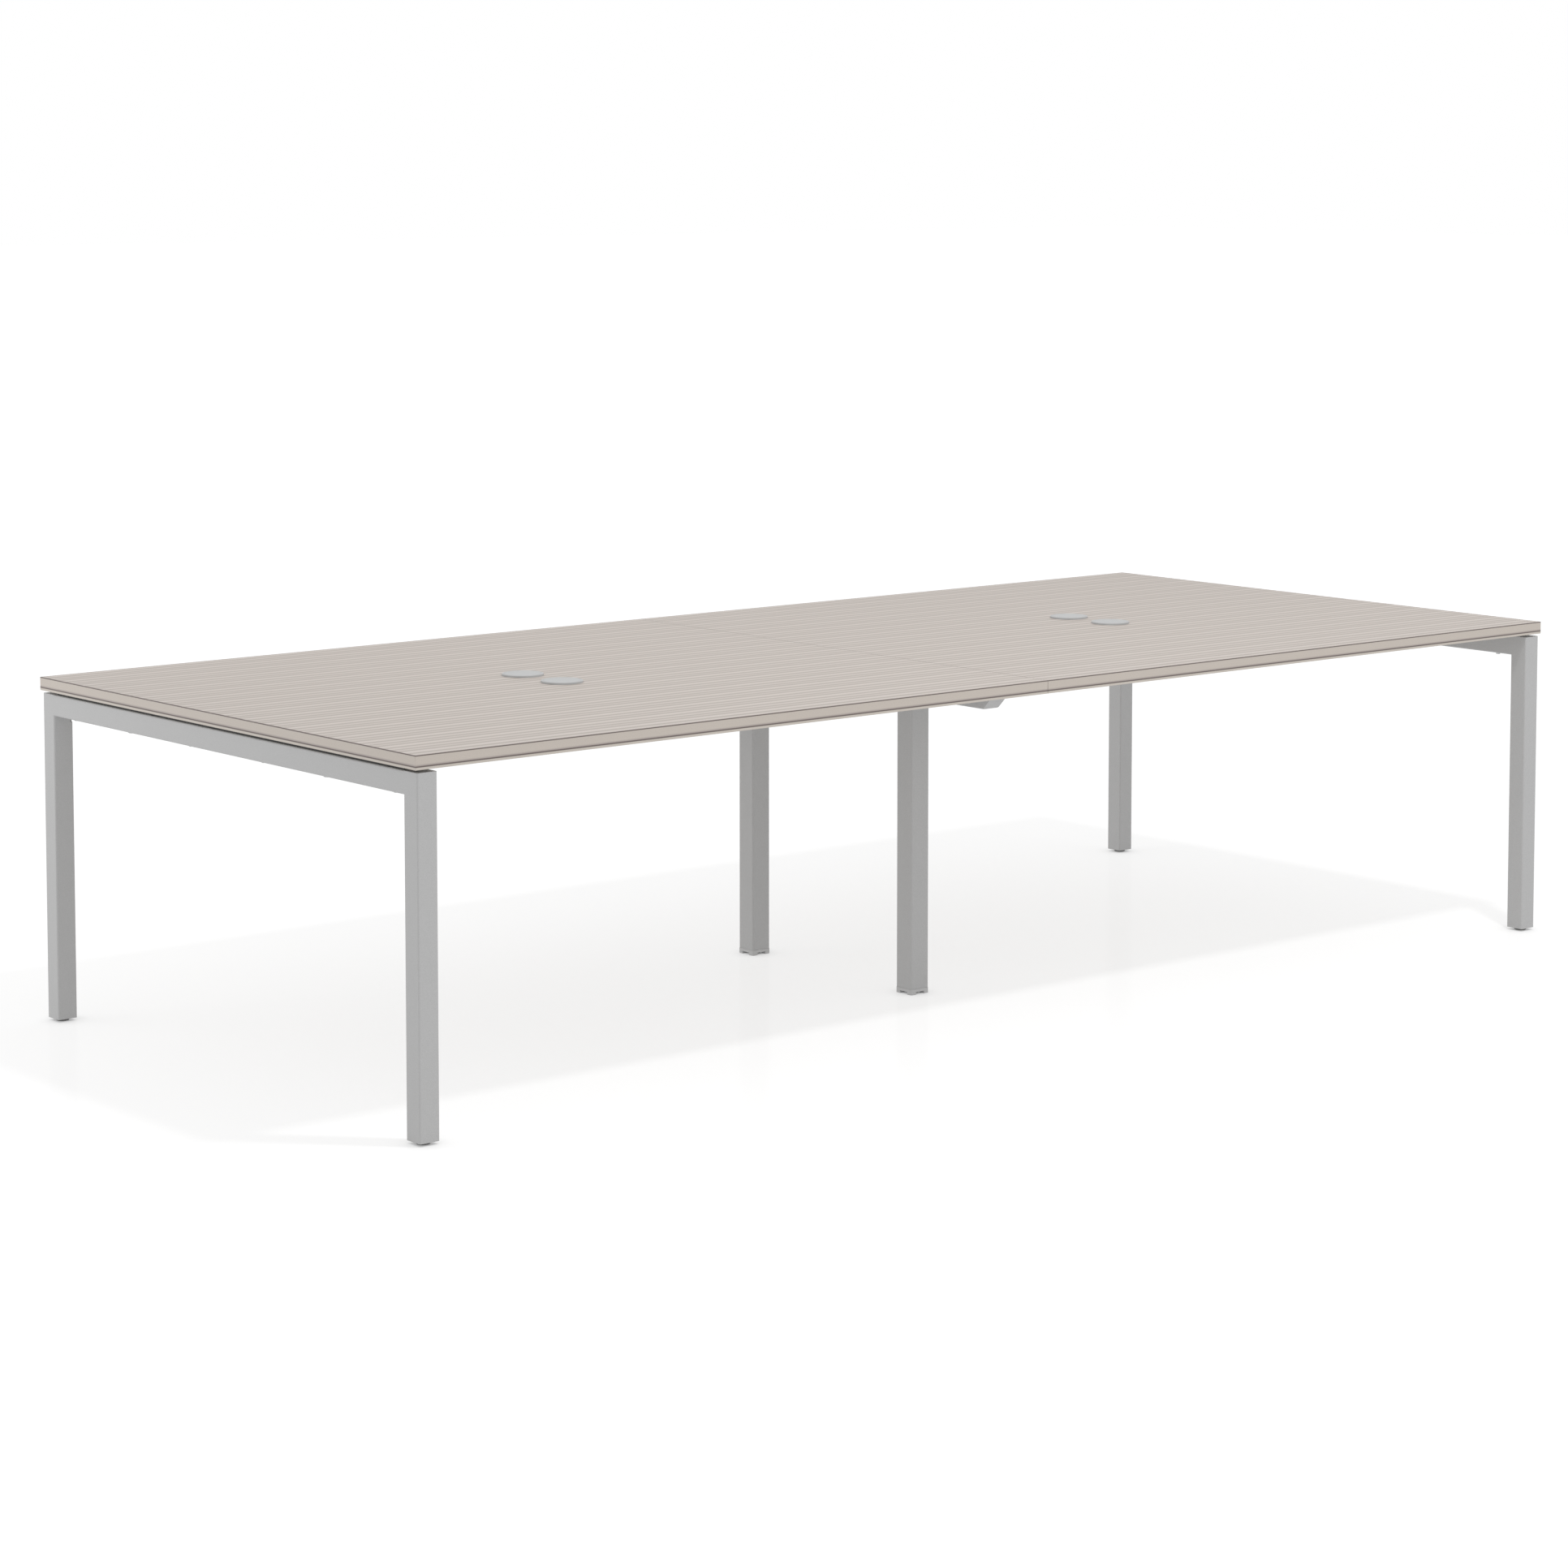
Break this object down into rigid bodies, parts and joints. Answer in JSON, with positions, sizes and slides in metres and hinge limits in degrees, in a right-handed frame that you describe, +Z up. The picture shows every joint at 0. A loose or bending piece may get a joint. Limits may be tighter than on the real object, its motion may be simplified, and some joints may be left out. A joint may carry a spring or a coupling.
{
  "type": "coworking desk",
  "caption": "Long coworking desk: striped woodgrain tops joined end to end on square-tube end frames and a set-back mid frame, with cable grommets and levelling feet.",
  "frame": {"origin": "on the floor, under the middle of the desk", "axes": "+X along the desk to the right, +Y across it from the front edge to the rear edge, +Z up"},
  "size_m": [3.2, 1.4, 0.7396],
  "materials": {
    "board_laminate": "striped woodgrain laminate on chipboard",
    "edge_band": "satin edge band",
    "silver_paint": "fine speckled silver powder coat",
    "cap_plastic": "satin",
    "shoe_plastic": "satin",
    "foot_plastic": "matte",
    "zinc_steel": "bright zinc plated",
    "black_plastic": "matte",
    "grommet_plastic": "satin light grey"
  },
  "bodies": {
    "desk": {"top_panel_left": "board_laminate", "top_panel_right": "board_laminate", "edge_band_left": "edge_band", "edge_band_right": "edge_band", "beam_left": "silver_paint", "beam_right": "silver_paint", "mid_leg_front": "silver_paint", "mid_leg_rear": "silver_paint", "mid_leg_heads": "silver_paint", "mid_beam": "silver_paint", "rail_end_plates": "silver_paint", "leg_front_left": "silver_paint", "leg_front_right": "silver_paint", "leg_rear_left": "silver_paint", "leg_rear_right": "silver_paint", "rail_front_left": "silver_paint", "rail_front_right": "silver_paint", "rail_rear_left": "silver_paint", "rail_rear_right": "silver_paint", "mid_beam_cap_front": "cap_plastic", "mid_beam_cap_rear": "cap_plastic", "beam_plugs": "cap_plastic", "leg_top_plugs": "cap_plastic", "mid_shoe_front": "shoe_plastic", "mid_shoe_rear": "shoe_plastic", "rail_bolts": "zinc_steel", "rail_nuts": "zinc_steel", "top_screws": "zinc_steel", "leg_foot_plugs": "black_plastic", "spacer_strip_left": "black_plastic", "spacer_strip_right": "black_plastic", "spacer_strip_mid": "black_plastic", "rail_spacers": "black_plastic", "grommet_liner_front_left": "grommet_plastic", "grommet_liner_front_right": "grommet_plastic", "grommet_liner_rear_left": "grommet_plastic", "grommet_liner_rear_right": "grommet_plastic"},
    "foot_stud_front_left": {"foot_stud_front_left": "zinc_steel"},
    "foot_pad_front_left": {"foot_pad_front_left": "foot_plastic"},
    "foot_stud_front_right": {"foot_stud_front_right": "zinc_steel"},
    "foot_pad_front_right": {"foot_pad_front_right": "foot_plastic"},
    "foot_stud_rear_left": {"foot_stud_rear_left": "zinc_steel"},
    "foot_pad_rear_left": {"foot_pad_rear_left": "foot_plastic"},
    "foot_stud_rear_right": {"foot_stud_rear_right": "zinc_steel"},
    "foot_pad_rear_right": {"foot_pad_rear_right": "foot_plastic"},
    "foot_stud_front_mid": {"foot_stud_front_mid": "zinc_steel"},
    "foot_pad_front_mid": {"foot_pad_front_mid": "shoe_plastic"},
    "foot_stud_rear_mid": {"foot_stud_rear_mid": "zinc_steel"},
    "foot_pad_rear_mid": {"foot_pad_rear_mid": "shoe_plastic"},
    "grommet_cap_front_left": {"grommet_cap_front_left": "grommet_plastic"},
    "grommet_insert_front_left": {"grommet_insert_front_left": "grommet_plastic"},
    "grommet_cap_front_right": {"grommet_cap_front_right": "grommet_plastic"},
    "grommet_insert_front_right": {"grommet_insert_front_right": "grommet_plastic"},
    "grommet_cap_rear_left": {"grommet_cap_rear_left": "grommet_plastic"},
    "grommet_insert_rear_left": {"grommet_insert_rear_left": "grommet_plastic"},
    "grommet_cap_rear_right": {"grommet_cap_rear_right": "grommet_plastic"},
    "grommet_insert_rear_right": {"grommet_insert_rear_right": "grommet_plastic"}
  },
  "joints": [
    {"name": "foot_slide_front_left", "type": "slide", "parent": "desk", "child": "foot_stud_front_left", "axis": [0, 0, -1], "range_m": [0, 0.0101]},
    {"name": "foot_turn_front_left", "type": "hinge", "parent": "foot_stud_front_left", "child": "foot_pad_front_left", "pos_m": [-1.572, -0.675, 0], "axis": [0, 0, -1], "range_deg": [0, 2880]},
    {"name": "foot_slide_front_right", "type": "slide", "parent": "desk", "child": "foot_stud_front_right", "axis": [0, 0, -1], "range_m": [0, 0.0101]},
    {"name": "foot_turn_front_right", "type": "hinge", "parent": "foot_stud_front_right", "child": "foot_pad_front_right", "pos_m": [1.572, -0.675, 0], "axis": [0, 0, -1], "range_deg": [0, 2880]},
    {"name": "foot_slide_rear_left", "type": "slide", "parent": "desk", "child": "foot_stud_rear_left", "axis": [0, 0, -1], "range_m": [0, 0.0101]},
    {"name": "foot_turn_rear_left", "type": "hinge", "parent": "foot_stud_rear_left", "child": "foot_pad_rear_left", "pos_m": [-1.572, 0.675, 0], "axis": [0, 0, -1], "range_deg": [0, 2880]},
    {"name": "foot_slide_rear_right", "type": "slide", "parent": "desk", "child": "foot_stud_rear_right", "axis": [0, 0, -1], "range_m": [0, 0.0101]},
    {"name": "foot_turn_rear_right", "type": "hinge", "parent": "foot_stud_rear_right", "child": "foot_pad_rear_right", "pos_m": [1.572, 0.675, 0], "axis": [0, 0, -1], "range_deg": [0, 2880]},
    {"name": "foot_slide_front_mid", "type": "slide", "parent": "desk", "child": "foot_stud_front_mid", "axis": [0, 0, -1], "range_m": [0, 0.0101]},
    {"name": "foot_turn_front_mid", "type": "hinge", "parent": "foot_stud_front_mid", "child": "foot_pad_front_mid", "pos_m": [0, -0.274, 0], "axis": [0, 0, -1], "range_deg": [0, 2880]},
    {"name": "foot_slide_rear_mid", "type": "slide", "parent": "desk", "child": "foot_stud_rear_mid", "axis": [0, 0, -1], "range_m": [0, 0.0101]},
    {"name": "foot_turn_rear_mid", "type": "hinge", "parent": "foot_stud_rear_mid", "child": "foot_pad_rear_mid", "pos_m": [0, 0.274, 0], "axis": [0, 0, -1], "range_deg": [0, 2880]},
    {"name": "cap_lift_front_left", "type": "slide", "parent": "desk", "child": "grommet_cap_front_left", "axis": [0, 0, 1], "range_m": [0, 0.05]},
    {"name": "insert_lift_front_left", "type": "slide", "parent": "grommet_cap_front_left", "child": "grommet_insert_front_left", "axis": [0, 0, 1], "range_m": [0, 0.03]},
    {"name": "cap_lift_front_right", "type": "slide", "parent": "desk", "child": "grommet_cap_front_right", "axis": [0, 0, 1], "range_m": [0, 0.05]},
    {"name": "insert_lift_front_right", "type": "slide", "parent": "grommet_cap_front_right", "child": "grommet_insert_front_right", "axis": [0, 0, 1], "range_m": [0, 0.03]},
    {"name": "cap_lift_rear_left", "type": "slide", "parent": "desk", "child": "grommet_cap_rear_left", "axis": [0, 0, 1], "range_m": [0, 0.05]},
    {"name": "insert_lift_rear_left", "type": "slide", "parent": "grommet_cap_rear_left", "child": "grommet_insert_rear_left", "axis": [0, 0, 1], "range_m": [0, 0.03]},
    {"name": "cap_lift_rear_right", "type": "slide", "parent": "desk", "child": "grommet_cap_rear_right", "axis": [0, 0, 1], "range_m": [0, 0.05]},
    {"name": "insert_lift_rear_right", "type": "slide", "parent": "grommet_cap_rear_right", "child": "grommet_insert_rear_right", "axis": [0, 0, 1], "range_m": [0, 0.03]}
  ],
  "couplings": [
    {"joint": "foot_slide_front_left", "follows": "foot_turn_front_left", "m_per_rad": 0.00019894},
    {"joint": "foot_slide_front_right", "follows": "foot_turn_front_right", "m_per_rad": 0.00019894},
    {"joint": "foot_slide_rear_left", "follows": "foot_turn_rear_left", "m_per_rad": 0.00019894},
    {"joint": "foot_slide_rear_right", "follows": "foot_turn_rear_right", "m_per_rad": 0.00019894},
    {"joint": "foot_slide_front_mid", "follows": "foot_turn_front_mid", "m_per_rad": 0.00019894},
    {"joint": "foot_slide_rear_mid", "follows": "foot_turn_rear_mid", "m_per_rad": 0.00019894}
  ]
}
